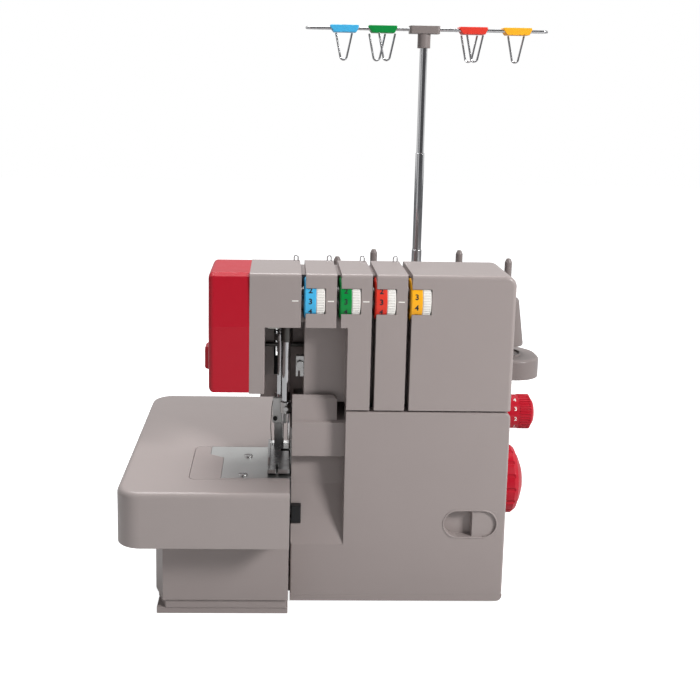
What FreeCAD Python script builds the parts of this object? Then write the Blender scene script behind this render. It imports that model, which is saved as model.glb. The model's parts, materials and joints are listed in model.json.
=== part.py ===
import FreeCAD, Part
import Sketcher
import os

V = FreeCAD.Vector
doc = FreeCAD.newDocument("overlock_machine")

# Driving sizes in millimetres: name, value, meaning
SIZES = [
    ("overall_width", 393, "left end of the table to right end of the guide wire"),
    ("overall_depth", 301, "front of the table to back of the spool stand"),
    ("foot_height", 6, "floor to underside of the base tray"),
    ("tray_height", 8, "height of the base tray"),
    ("body_width", 184.7, "width of the body right of the table"),
    ("body_height", 288, "top of the body above the floor"),
    ("body_depth", 142.5, "looper cover face to back of the lower body"),
    ("tower_depth", 65.5, "depth of the upper front cover"),
    ("rear_cover_depth", 8, "depth of the upper rear cover"),
    ("door_top", 171.5, "top edge of the looper cover"),
    ("seam_gap", 1.5, "gap between looper cover and upper cover"),
    ("wall", 3, "wall of the plastic covers"),
    ("table_width", 139.3, "extension table, left to right"),
    ("table_depth", 267, "extension table, front to back"),
    ("table_top", 120, "sewing surface above the floor"),
    ("table_skirt", 46, "height of the table skirt"),
    ("table_corner", 20, "plan radius of the table corners"),
    ("table_edge", 5, "radius along the table top edge"),
    ("skirt_reach", 53, "table front to looper cover face"),
    ("arm_setback", 31, "table front to free arm front"),
    ("arm_depth", 78.5, "free arm, front to back"),
    ("arm_length", 83, "free arm, left of the body"),
    ("arm_bottom", 84, "underside of the free arm"),
    ("plate_thick", 2, "needle plate"),
    ("box_length", 104.8, "arm base, left of the body"),
    ("box_top", 64, "top of the arm base"),
    ("slide_gap", 0.4, "gap between sliding faces"),
    ("head_width", 68.8, "head left of the looper cover edge"),
    ("face_width", 33.8, "width of the face cover in the head"),
    ("head_bottom", 185, "underside of the head"),
    ("recess_top", 243, "top of the needle recess"),
    ("slot_first", 9.2, "left edge of the body to the first thread slot"),
    ("slot_pitch", 29.1, "pitch of the thread slots"),
    ("slot_width", 3.8, "width of a thread slot"),
    ("slot_depth", 22.5, "depth of a thread slot"),
    ("dial_height", 265.5, "axis of the tension dials"),
    ("dial_radius", 17.4, "tension dial wheel"),
    ("dial_setback", 14.6, "tension dial axis behind the front face"),
    ("dial_width", 16.8, "tension dial wheel, left to right"),
    ("needle_side", 3.8, "needle bar axis left of the body"),
    ("needle_setback", 39.5, "needle bar axis behind the looper cover face"),
    ("needle_bar_r", 3.6, "needle bar radius"),
    ("presser_side", 8.8, "presser bar axis left of the body"),
    ("presser_setback", 52.5, "presser bar axis behind the looper cover face"),
    ("presser_bar_r", 3, "presser bar radius"),
    ("shaft_setback", 85, "main shaft axis behind the looper cover face"),
    ("shaft_z", 82, "main shaft axis above the floor"),
    ("shaft_r", 6, "main shaft radius"),
    ("wheel_r", 32, "handwheel radius"),
    ("wheel_reach", 31, "handwheel end beyond the body side"),
    ("motor_setback", 107.5, "motor axis behind the looper cover face"),
    ("motor_z", 44, "motor axis above the floor"),
    ("motor_r", 24, "motor can radius"),
    ("belt_big_r", 24, "pulley on the main shaft"),
    ("belt_small_r", 8, "pulley on the motor"),
    ("stitch_setback", 55, "stitch length dial axis behind the looper cover face"),
    ("stitch_z", 156, "stitch length dial axis above the floor"),
    ("stitch_r", 15.1, "stitch length dial radius"),
    ("hinge_setback", 7, "looper cover hinge axis behind its face"),
    ("hinge_z", 11.9, "looper cover hinge axis above the floor"),
    ("hinge_r", 1.5, "hinge rod radius"),
    ("stand_top", 180, "top of the spool stand"),
    ("stand_thick", 19.5, "thickness of the spool stand"),
    ("mast_side", 130.2, "mast axis right of the table seam"),
    ("mast_inset", 28, "mast axis in front of the back edge"),
    ("mast_r", 5.1, "radius of the lower mast tube"),
    ("mast_wall", 0.6, "wall of the mast tubes"),
    ("mast_low", 276, "top of the lower mast tube"),
    ("mast_mid", 375, "top of the middle mast tube"),
    ("mast_high", 485, "top of the upper mast tube"),
    ("mast_lap", 20, "overlap of the mast tubes when pulled out"),
    ("spool_in", 44.3, "inner spool pins, sideways from the mast"),
    ("spool_out", 84.5, "outer spool pins, sideways from the mast"),
    ("spool_step", 50, "outer spool pins in front of the inner ones"),
    ("spool_tip", 276, "tip of the spool pins"),
    ("guide_z", 497, "height of the guide wire"),
    ("guide_reach", 118, "guide wire left of the mast"),
    ("guide_wire_r", 1.1, "radius of the guide wire"),
    ("guide_half", 4.5, "half spacing of the guide wire strands"),
    ("loop_drop", 26, "thread loops below the guide clips"),
    ("loop_width", 16, "thread loops at the top"),
]


class Size:
    """A number together with the sheet expression that gives it."""

    def __init__(self, value, text):
        self.value = float(value)
        self.text = text

    def __add__(self, other):
        other = as_size(other)
        return Size(self.value + other.value, f"({self.text} + {other.text})")

    def __radd__(self, other):
        return as_size(other) + self

    def __sub__(self, other):
        other = as_size(other)
        return Size(self.value - other.value, f"({self.text} - {other.text})")

    def __rsub__(self, other):
        return as_size(other) - self

    def __mul__(self, other):
        other = as_size(other)
        return Size(self.value * other.value, f"({self.text} * {other.text})")

    def __rmul__(self, other):
        return as_size(other) * self

    def __truediv__(self, other):
        other = as_size(other)
        return Size(self.value / other.value, f"({self.text} / {other.text})")

    def __neg__(self):
        return Size(-self.value, f"(0 - {self.text})")


def as_size(number):
    if isinstance(number, Size):
        return number
    if number < 0:
        return Size(number, f"(0 - {abs(number):.6g})")
    return Size(number, f"{number:.6g}")


class Sheet:
    """Spreadsheet of the driving sizes, read by name."""

    def __init__(self, rows):
        self.cells = doc.addObject("Spreadsheet::Sheet", "sizes")
        self.values = {}
        for row, (name, value, meaning) in enumerate(rows, start=1):
            self.cells.set(f"A{row}", meaning)
            self.cells.set(f"B{row}", str(value))
            self.cells.setAlias(f"B{row}", name)
            self.values[name] = value
        doc.recompute()

    def __getattr__(self, name):
        return Size(self.values[name], f"sizes.{name}")


d = Sheet(SIZES)
NODES = []


def bind(item, prop, size):
    item.setExpression(prop, as_size(size).text)


def put(item, x, y, z):
    for axis, size in zip("xyz", (x, y, z)):
        bind(item, f"Placement.Base.{axis}", size)


def node(item, label):
    item.Label = label
    NODES.append(item)
    return item


def circle(u, v, r):
    return ("circle", u, v, r)


def rect(u0, u1, v0, v1):
    return [(u0, v0), (u1, v0), (u1, v1), (u0, v1)]


class Piece:
    """A body built from sketches on its own origin planes."""

    ROLES = {"xy": "XY_Plane", "xz": "XZ_Plane", "yz": "YZ_Plane"}

    def __init__(self, name):
        self.name = name
        self.body = doc.addObject("PartDesign::Body", name)
        self.planes = {}
        for item in self.body.Origin.OriginFeatures:
            self.planes[item.Role] = item

    def sketch(self, plane, start, outlines):
        sketch = self.body.newObject("Sketcher::SketchObject", f"{self.name}_sketch")
        sketch.AttachmentSupport = [(self.planes[self.ROLES[plane]], "")]
        sketch.MapMode = "FlatFace"
        bind(sketch, "AttachmentOffset.Base.z", -start if plane == "xz" else start)
        for outline in outlines:
            if outline[0] == "circle":
                self.add_circle(sketch, *outline[1:])
            else:
                self.add_polygon(sketch, outline)
        return sketch

    def pin_point(self, sketch, geometry, place, u, v):
        for kind, size in (("DistanceX", u), ("DistanceY", v)):
            size = as_size(size)
            index = sketch.addConstraint(Sketcher.Constraint(kind, -1, 1, geometry, place, size.value))
            bind(sketch, f"Constraints[{index}]", size)

    def add_circle(self, sketch, u, v, r):
        u, v, r = as_size(u), as_size(v), as_size(r)
        ring = Part.Circle(V(u.value, v.value, 0), V(0, 0, 1), r.value)
        geometry = sketch.addGeometry(ring, False)
        index = sketch.addConstraint(Sketcher.Constraint("Radius", geometry, r.value))
        bind(sketch, f"Constraints[{index}]", r)
        self.pin_point(sketch, geometry, 3, u, v)

    def add_polygon(self, sketch, points):
        points = [(as_size(u), as_size(v)) for u, v in points]
        spots = [V(u.value, v.value, 0) for u, v in points]
        lines = []
        for here, after in zip(spots, spots[1:] + spots[:1]):
            lines.append(sketch.addGeometry(Part.LineSegment(here, after), False))
        for line, after in zip(lines, lines[1:] + lines[:1]):
            sketch.addConstraint(Sketcher.Constraint("Coincident", line, 2, after, 1))
        for line, (u, v) in zip(lines, points):
            self.pin_point(sketch, line, 1, u, v)

    def pad(self, plane, start, end, *outlines):
        pad = self.body.newObject("PartDesign::Pad", f"{self.name}_pad")
        pad.Profile = self.sketch(plane, start, outlines)
        pad.Reversed = plane == "xz"
        bind(pad, "Length", end - start)
        return self

    def cut(self, plane, start, end, *outlines):
        pocket = self.body.newObject("PartDesign::Pocket", f"{self.name}_cut")
        pocket.Profile = self.sketch(plane, start, outlines)
        pocket.Reversed = plane != "xz"
        bind(pocket, "Length", end - start)
        return self

    def turn(self, *outlines):
        turn = self.body.newObject("PartDesign::Revolution", f"{self.name}_turn")
        profile = self.sketch("xz", 0, outlines)
        turn.Profile = profile
        turn.ReferenceAxis = (profile, ["V_Axis"])
        turn.Angle = 360
        return self

    def edges(self, test):
        doc.recompute()
        names = []
        for index, edge in enumerate(self.body.Tip.Shape.Edges, start=1):
            if test(edge):
                names.append(f"Edge{index}")
        if not names:
            raise ValueError(f"no edge found on {self.name}")
        return names

    def fillet(self, radius, test):
        names = self.edges(test)
        base = self.body.Tip
        rounding = self.body.newObject("PartDesign::Fillet", f"{self.name}_fillet")
        rounding.Base = (base, names)
        bind(rounding, "Radius", radius)
        return self

    def done(self, label=None):
        return node(self.body, label or self.name)


def near(edge, x=None, y=None, z=None, slack=0.05):
    """True where every point of the edge lies at the given coordinates."""
    box = edge.BoundBox
    spans = ((x, box.XMin, box.XMax), (y, box.YMin, box.YMax), (z, box.ZMin, box.ZMax))
    for size, low, high in spans:
        if size is not None:
            goal = as_size(size).value
            if abs(low - goal) > slack or abs(high - goal) > slack:
                return False
    return True


def box(name, x0, x1, y0, y1, z0, z1):
    item = doc.addObject("Part::Box", name)
    bind(item, "Length", x1 - x0)
    bind(item, "Width", y1 - y0)
    bind(item, "Height", z1 - z0)
    put(item, x0, y0, z0)
    return item


TURNS = {
    "x": FreeCAD.Rotation(V(0, 1, 0), 90),
    "y": FreeCAD.Rotation(V(1, 0, 0), -90),
    "z": FreeCAD.Rotation(),
}


def rod(name, axis, x, y, z, r, length):
    item = doc.addObject("Part::Cylinder", name)
    bind(item, "Radius", r)
    bind(item, "Height", length)
    item.Placement = FreeCAD.Placement(V(), TURNS[axis])
    put(item, x, y, z)
    return item


def turned(name, axis, x, y, z, profile):
    """Turned piece: profile of (radius, along) points, axis through x, y, z."""
    piece = Piece(name).turn(profile)
    piece.body.Placement = FreeCAD.Placement(V(), TURNS[axis])
    put(piece.body, x, y, z)
    return piece


def join(name, items):
    item = doc.addObject("Part::MultiFuse", name)
    item.Shapes = items
    return item


def group(label, items):
    item = doc.addObject("Part::Compound", label)
    item.Links = items
    return node(item, label)


# Datum planes of the machine
left = -d.overall_width / 2
front = -d.overall_depth / 2
back = d.overall_depth / 2
seam = left + d.table_width
right = seam + d.body_width
face = front + d.skirt_reach
body_back = face + d.body_depth
arm_front = front + d.arm_setback
arm_back = arm_front + d.arm_depth
arm_left = seam - d.arm_length
floor = d.foot_height
tray_top = floor + d.tray_height
top = d.body_height
wall = d.wall
cover_low = d.door_top + d.seam_gap
tower_back = face + d.tower_depth
rear_back = tower_back + d.rear_cover_depth
head_left = seam - d.head_width
face_seam = head_left + d.face_width
step = seam + 46.2
recess_left = seam - 22.4
recess_mid = seam + 11.2
door_depth = 13.5
slots = [seam + d.slot_first + d.slot_pitch * n for n in range(4)]
dial_y = face + d.dial_setback
web_front = face + 47.5
web_back = face + 57.5
door_left = seam + 1.4
needle_x = seam - d.needle_side
needle_y = face + d.needle_setback
presser_x = seam - d.presser_side
presser_y = face + d.presser_setback
shaft_y = face + d.shaft_setback
motor_y = face + d.motor_setback
stitch_y = face + d.stitch_setback
hinge_y = face + d.hinge_setback
lifter_y = tower_back - 5.4
lifter_z = 214
inlet_y = body_back - 21
switch_y = body_back - 14
mast_x = seam + d.mast_side
mast_y = back - d.mast_inset
stand_front = back - 110.5
stand_side = back - 65.5


def tray_outline(inset):
    return [
        (seam - d.box_length + inset, arm_front + inset),
        (seam - inset, arm_front + inset),
        (seam - inset, face + door_depth + inset - 2),
        (right - inset - 1.5, face + door_depth + inset - 2),
        (right - inset - 1.5, body_back - inset),
        (seam + inset, body_back - inset),
        (seam + inset, arm_back - inset),
        (seam - d.box_length - 8 + inset, arm_back - inset),
        (seam - d.box_length - 8 + inset, arm_front + 22 + inset),
    ]


def make_base():
    tray = Piece("base_tray").pad("xy", floor, tray_top, tray_outline(2))
    tray.cut("xy", floor + 3, tray_top, tray_outline(5))
    for x in (seam + 8.2, right - 10):
        lug = rect(hinge_y - 3, face + door_depth + 0.5, tray_top - 4.2, tray_top)
        tray.pad("yz", x, x + 4, lug)
        tray.cut("yz", x, x + 4, circle(hinge_y, d.hinge_z, d.hinge_r))
    tray.done()

    shell = rect(seam - d.box_length, seam - 0.3, arm_front, arm_back)
    shell = [shell[0], shell[1], shell[2], (shell[3][0] - 8, arm_back)]
    shell.append((shell[3][0], arm_front + 22))
    cover = Piece("arm_base_cover").pad("xy", tray_top, d.box_top, shell)
    cover.fillet(2.5, lambda e: near(e, z=d.box_top))
    hollow = rect(seam - d.box_length + wall, seam - 0.3 - wall, arm_front + wall, arm_back - wall)
    cover.cut("xy", tray_top, d.box_top - wall, hollow).done()

    feet = []
    box_foot = seam - d.box_length + 12.8
    spots = [(box_foot, arm_front + 14), (box_foot, arm_back - 12),
             (right - 16, face + 28), (right - 16, body_back - 16),
             (seam + 16, face + 28), (seam + 16, body_back - 16)]
    for number, (x, y) in enumerate(spots):
        profile = [(0, 0), (7, 0), (8.5, 1.5), (9, floor), (0, floor)]
        feet.append(turned(f"foot{number}", "z", x, y, 0, profile).body)
    group("rubber_feet", feet)


def make_lower_cover():
    low = d.door_top - 13.5
    cover = Piece("lower_rear_cover")
    front_y = face + door_depth + 0.5
    cover.pad("xy", tray_top, low, rect(seam + 0.2, right, front_y, body_back))
    cover.fillet(12, lambda e: near(e, y=body_back) and e.BoundBox.ZLength > 50)
    cover.fillet(3, lambda e: near(e, z=low) and e.BoundBox.YMax > tower_back.value + 10)
    inner = right - wall
    cover.cut("xy", tray_top, low - wall, rect(seam + 3.2, inner, front_y - 1, body_back - wall))
    cover.cut("xy", low - 8, low + 1, rect(seam + 3.2, inner, front_y - 1, tower_back - 1))
    cover.cut("xy", tray_top, low + 1, rect(seam - 1, seam + 3.2, front_y - 1, arm_back + 3))
    cover.pad("xy", low - 4, d.door_top + 1, rect(inner, right, front_y, tower_back - 1))
    cover.cut("yz", inner - 1, right + 1, circle(stitch_y, d.stitch_z, 6))
    cover.cut("yz", inner - 1, right + 1, circle(shaft_y, d.shaft_z, 9))
    cover.cut("yz", inner - 1, right + 1, rect(inlet_y - 14, inlet_y + 14, 22, 42))
    cover.cut("yz", inner - 1, right + 1, rect(switch_y - 9, switch_y + 9, 54, 66))
    vent = right - 87.5
    vents = [rect(vent + 11 * n, vent + 11 * n + 6, 40, 84) for n in range(6)]
    cover.cut("xz", body_back - wall - 1, body_back + 1, *vents)
    cover.done()


def make_looper_cover():
    low = floor + 0.5
    inside = face + wall
    rear = face + door_depth
    cover = Piece("looper_cover")
    cover.pad("xz", face, rear, rect(step, right, low, d.door_top))
    cover.fillet(5, lambda e: near(e, x=right) and e.BoundBox.YLength > 5)
    cover.fillet(1.8, lambda e: near(e, y=face) and not near(e, x=step))
    inner_top = d.door_top - wall
    cover.cut("xz", inside, rear, rect(step + wall, right - wall, low - 1, inner_top))
    profile = [
        (face, low), (face, 54), (face + 9, 76), (face + 17, 102), (face + 21, 129),
        (face + 10, 129), (face + 10, 158.5), (face + 12.5, 160), (face + 57, 164),
        (face + 57, 161.4), (face + 13.6, 157.6), (face + 12.6, 156.4), (face + 12.6, 131.6),
        (face + 23.8, 131.6), (face + 19.7, 101), (face + 11.6, 75), (inside, 54.5), (inside, low),
    ]
    cover.pad("yz", door_left, step + 1, profile)
    lip_top = 180.4
    lip_end = step - 6.8
    lip = [(face + 12.8, 159), (face + 16.5, lip_top - 2.4), (face + 18.5, lip_top), (face + 20.4, lip_top),
           (face + 21.4, lip_top - 1.4), (face + 19, 160)]
    cover.pad("yz", door_left, lip_end, lip)
    corner = [(lip_end - 4, lip_top + 1), (lip_end + 1, lip_top + 1), (lip_end + 1, lip_top - 4)]
    cover.cut("xz", face + 12, face + 22, corner)
    cover.pad("yz", step, step + 2.6, rect(face + 1.8, face + 23.8, 22, d.door_top - 2))
    cover.cut("xz", inside, rear, rect(step, step + wall, low - 1, 22))
    heel = [(face + 10.6, low - 0.5), (rear + 0.5, low - 0.5), (rear + 0.5, low + 4.1)]
    cover.cut("yz", right - wall - 1, right + 1, heel)
    cover.fillet(1.2, lambda e: near(e, y=face, x=door_left) and e.BoundBox.ZLength > 30)
    cover.cut("xz", face + 2, face + 22, rect(door_left - 1, door_left + 8.5, 70.5, 86))
    grip_left = right - 52.6
    grip_right = right - 4
    grip_low = 61.3
    grip_high = 84.4
    grip_mid = (grip_left + grip_right) / 2
    grip_rim = 2.4
    grip_box = rect(grip_left - grip_rim, grip_right, grip_low - grip_rim, grip_high + grip_rim)
    cover.pad("xz", inside - 0.5, inside + 8, grip_box)
    cover.cut("xz", face - 1, inside + 5.5, rect(grip_left, grip_mid, grip_low, grip_high))
    cover.cut("xz", face - 1, face + 1.6, rect(grip_mid, grip_right - 4, grip_low, grip_high))
    round_left = [near_corner(grip_left, grip_low), near_corner(grip_left, grip_high)]
    cover.fillet(8, lambda e: any(test(e) for test in round_left))
    for x in (seam + 20.2, right - 29.5):
        ring = circle(hinge_y, d.hinge_z, 5.4)
        cover.pad("yz", x, x + 8, ring)
        cover.cut("yz", x, x + 8, circle(hinge_y, d.hinge_z, 3.4))
    cover.done()

    sleeves = []
    for number, x in enumerate((seam + 17.2, right - 32.5)):
        profile = [(d.hinge_r + 0.1, 0), (3.2, 0), (3.2, 14), (d.hinge_r + 0.1, 14)]
        sleeves.append(turned(f"sleeve{number}", "x", x, hinge_y, d.hinge_z, profile).body)
    group("cover_slider", sleeves)


def near_corner(x, z):
    return lambda e: near(e, x=x, z=z) and e.BoundBox.YLength > 3


def make_upper_cover():
    outline = [(face_seam, d.head_bottom), (seam, d.head_bottom), (seam, cover_low),
               (right, cover_low), (right, top), (face_seam, top)]
    cover = Piece("upper_front_cover")
    cover.pad("xz", face, tower_back, outline)
    cover.fillet(9, lambda e: near(e, x=right, z=top))
    cover.fillet(3.5, lambda e: near(e, y=face) and e.BoundBox.ZMax > top.value - 12
                 and not near(e, x=face_seam))
    lean = [(face, d.recess_top), (face, d.head_bottom - 1), (face + 4.5, d.head_bottom - 1)]
    cover.cut("yz", face_seam, recess_left, lean)
    deep = tower_back - wall
    shelf = face + 24
    cover.cut("xz", face, deep, rect(recess_left, recess_mid, cover_low - 1, d.recess_top))
    cover.cut("xz", face, shelf, rect(recess_mid - 1, step, cover_low - 1, d.recess_top))
    top_in = top - wall
    web = 2.2 + d.slot_width / 2
    channel = face + d.slot_depth + 3
    edges = [face_seam + wall] + [s for slot in slots for s in (slot - web, slot + web)] + [right - wall]
    ceiling = d.recess_top + wall
    bays = [rect(edges[n], edges[n + 1], ceiling, top_in) for n in (0, 2, 4, 6, 8)]
    cover.cut("xz", face + wall, channel, *bays)
    cover.cut("xz", channel, tower_back, rect(face_seam + wall, right - wall, ceiling, top - 7))
    bays = [rect(max(edges[n], step + wall, key=lambda s: as_size(s).value), edges[n + 1],
                 cover_low - 1, ceiling + 1) for n in (4, 6, 8)]
    cover.cut("xz", face + wall, channel, *bays)
    cover.cut("xz", channel, tower_back, rect(step + wall, right - wall, cover_low - 1, ceiling + 1))
    behind = rect(recess_mid + wall, step + wall + 1, cover_low - 1, ceiling + 1)
    cover.cut("xz", shelf + wall, tower_back, behind)
    half = d.slot_width / 2
    grooves = [rect(slot - half, slot + half, cover_low - 1, top + 1) for slot in slots[1:]]
    grooves.append(rect(slots[0] - half, slots[0] + half, d.recess_top - 1, top + 1))
    cover.cut("xz", face - 1, face + d.slot_depth, *grooves)
    grooves = [rect(slot - half, slot + half, top - 4.5, top + 1) for slot in slots]
    cover.cut("xz", face, tower_back, *grooves)
    for slot in slots:
        cover.cut("yz", slot + 0.3, slot + 18.2, circle(dial_y, d.dial_height, d.dial_radius + 0.6))
        cover.cut("yz", slot - half, slot + 0.4, circle(dial_y, d.dial_height, 11))
        cover.cut("yz", slot - web - 0.5, slot, circle(dial_y, d.dial_height, 2.7))
    holes = [circle(needle_x, needle_y, 5.4), circle(presser_x, presser_y, 4)]
    cover.cut("xy", d.recess_top - 1, ceiling + 1, *holes)
    cover.cut("xz", deep - 1, tower_back, rect(presser_x - 6, presser_x + 6, d.head_bottom - 1, 238))
    cover.done()

    low = d.door_top - 13
    outline = [(face_seam, d.head_bottom), (seam, d.head_bottom), (seam, low), (right, low),
               (right, top), (face_seam, top)]
    cover = Piece("upper_rear_cover").pad("xz", tower_back, rear_back, outline)
    cover.fillet(9, lambda e: near(e, x=right, z=top))
    cover.fillet(4, lambda e: near(e, y=rear_back) and e.BoundBox.ZMax > low.value + 30)
    hollow = [(face_seam + wall, d.head_bottom + wall), (seam + wall, d.head_bottom + wall),
              (seam + wall, low + wall), (right - wall, low + wall), (right - wall, top - 12),
              (face_seam + wall, top - 12)]
    cover.cut("xz", tower_back, rear_back - wall, hollow)
    cover.cut("xz", tower_back, rear_back, *grooves)
    notch = rect(presser_x - 6, presser_x + 6, d.head_bottom - 1, 238)
    cover.cut("xz", tower_back, rear_back, notch).done()


def make_face_cover():
    edge = face_seam
    low = d.head_bottom + 1
    profile = [(face, d.recess_top), (face + 4.4, low), (rear_back - 2, low), (rear_back, low + 6),
               (rear_back, top - 6), (rear_back - 6, top), (face + 5, top), (face + 1.2, top - 3)]
    cover = Piece("face_cover").pad("yz", head_left, edge, profile)
    cover.fillet(4.5, lambda e: near(e, x=head_left))
    hollow = [(face + wall, d.recess_top), (face + 4.4 + wall, low + wall),
              (rear_back - 2 - wall, low + wall), (rear_back - wall, low + 8),
              (rear_back - wall, top - 8), (rear_back - 7, top - wall),
              (face + 7, top - wall), (face + 4.2, top - 5)]
    cover.cut("yz", head_left + wall + 1.5, edge, hollow).done()

    hood_y = face + 34
    hood = Piece("thread_cutter")
    plan = [(head_left, hood_y - 12), (head_left - 4.5, hood_y - 9), (head_left - 4.5, hood_y + 5),
            (head_left, hood_y + 8)]
    hood.pad("xy", 201, 220, plan)
    hood.fillet(2, lambda e: near(e, x=head_left - 4.5))
    hood.cut("xy", 200, 212, rect(head_left - 5, head_left - 1.6, hood_y - 2.8, hood_y - 1.2)).done()


def make_arm():
    bottom = d.arm_bottom
    rim = d.table_top - d.plate_thick
    end = seam - 0.3
    shell = 4
    arm = Piece("free_arm_cover").pad("xy", bottom, rim, rect(arm_left, end, arm_front, arm_back))
    arm.fillet(7, lambda e: near(e, x=arm_left) and e.BoundBox.ZLength > 20)
    arm.fillet(3, lambda e: near(e, z=bottom))
    arm.cut("xy", bottom + wall, rim, rect(arm_left + shell, end, arm_front + shell, arm_back - shell))
    for y in (arm_front, arm_back - 2):
        arm.cut("xy", 98, 102.8, rect(arm_left - 1, end, y, y + 2))
    arm.cut("xy", bottom, bottom + wall, rect(seam - 25, end, face + 39.5, face + 47.1))
    arm.done()

    line = seam - 56.8
    plate = Piece("needle_plate")
    outline = [(line, arm_front + 4), (seam - 0.5, arm_front + 4), (seam - 0.5, face + 21.5),
               (seam - 2.1, face + 21.5), (seam - 2.1, face + 35), (seam - 0.5, face + 35),
               (seam - 0.5, arm_back), (line - 12, arm_back),
               (line - 12, arm_back - 19), (line, arm_back - 27)]
    plate.pad("xy", rim, d.table_top, outline)
    teeth = []
    for n in range(2):
        tooth = needle_x - 13 + 4.5 * n
        teeth.append(rect(tooth, tooth + 3.4, face + 19.5, face + 50.5))
    slot = rect(needle_x - 3.8, needle_x + 3.4, needle_y - 1.6, needle_y + 1.6)
    plate.cut("xy", rim, d.table_top, *teeth, slot)
    for x, y in PLATE_SCREWS:
        plate.cut("xy", rim, d.table_top, circle(x, y, 2.1))
    plate.done()

    cap = Piece("arm_end_cap")
    outline = [(arm_left, arm_front), (seam - 0.5, arm_front), (seam - 0.5, arm_front + 3.7),
               (line - 0.3, arm_front + 3.7), (line - 0.3, arm_back - 27), (line - 12.3, arm_back - 19),
               (line - 12.3, arm_back), (arm_left, arm_back)]
    cap.pad("xy", rim, d.table_top, outline)
    cap.fillet(7, lambda e: near(e, x=arm_left) and e.BoundBox.ZLength > 1).done()


PLATE_SCREWS = [(seam - 36, arm_front + 55), (seam - 39, arm_front + 11)]


def make_table():
    bottom = d.table_top - d.table_skirt
    end = seam - 0.4
    gap = d.slide_gap
    inside = 3
    skirt_back = front + d.table_depth
    table = Piece("extension_table")
    outline = [(left, front), (end, front), (end, arm_front - gap), (arm_left - gap, arm_front - gap),
               (arm_left - gap, arm_back + gap), (end, arm_back + gap),
               (end, skirt_back), (left, skirt_back)]
    table.pad("xy", bottom, d.table_top, outline)
    table.fillet(d.table_corner, lambda e: near(e, x=left) and e.BoundBox.ZLength > 20)
    table.fillet(7, lambda e: near(e, x=arm_left - gap) and e.BoundBox.ZLength > 20)
    outer = (left.value, front.value, skirt_back.value)
    table.fillet(d.table_edge, lambda e: near(e, z=d.table_top) and on_rim(e, outer))
    under = d.table_top - 4
    notch = arm_left - gap - inside
    hollows = [rect(left + inside + 5, notch, front + inside + 5, skirt_back - inside - 5),
               rect(notch + 0.5, end - inside, front + inside + 2, arm_front - gap - inside),
               rect(notch + 0.5, end - inside, arm_back + gap + inside, skirt_back - inside - 2)]
    for hollow in hollows:
        table.cut("xy", bottom, under, hollow)
    rib = 1.6
    table.pad("xy", 98.4, 102.4, rect(arm_left, end, arm_front - gap - 0.5, arm_front + rib))
    table.pad("xy", 98.4, 102.4, rect(arm_left, end, arm_back - rib, arm_back + gap + 0.5))
    table.done()


def on_rim(edge, outer):
    x0, y0, y1 = outer
    b = edge.BoundBox
    return b.XMin < x0 + 30 or b.YMax < y0 + 1 or b.YMin > y1 - 1


def make_frame():
    frame = Piece("machine_frame")
    foot = 17
    post = seam + 63.2
    side = right - 29.5
    frame.pad("xy", floor + 3, foot, rect(seam + 7, right - 10, face + 19, body_back - 10))
    outline = [(seam + 1.2, foot - 1), (side, foot - 1), (side, 280), (face_seam + 6, 280),
               (face_seam + 6, 252), (post, 252), (post, 112), (seam + 1.2, 112)]
    frame.pad("xz", web_front, web_back, outline)
    frame.pad("xz", web_front, arm_back - 4.3, rect(arm_left + 8, seam + 2, d.arm_bottom + wall, 112))
    frame.pad("xy", 252, 280, rect(face_seam + 6, post, needle_y - 6.8, web_front + 1))
    rib = body_back - 11
    for x in (post - 2, side - 2):
        sides = [(web_back - 1, foot - 1), (rib, foot - 1), (rib, 60), (rib - 26, 108), (web_back - 1, 118)]
        frame.pad("yz", x, x + 8, sides)
        frame.cut("yz", x - 1, x + 9, circle(shaft_y, d.shaft_z, d.shaft_r + 3))
    frame.cut("yz", side - 3, side + 7, circle(motor_y, d.motor_z, 7))
    holes = [circle(needle_x, needle_y, d.needle_bar_r + 1.6),
             circle(presser_x, presser_y, d.presser_bar_r + 1.4)]
    frame.cut("xy", 251, 281, *holes)
    windows = [rect(post + 14, side - 14, 130, 240), rect(seam + 17.2, seam + 53.2, 24, 44)]
    frame.cut("xz", web_front - 1, web_back + 1, *windows)
    frame.cut("xz", web_front - 1, web_back + 1, rect(needle_x - 10.3, needle_x - 5.7, 102.7, 109.3))
    frame.pad("xy", 112, 124, rect(seam + 38.2, seam + 50.2, face + 25.5, web_front + 1))
    frame.cut("xy", 111, 125, rect(seam + 40.8, seam + 47.6, face + 26.2, face + 30.8))
    frame.done()


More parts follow.
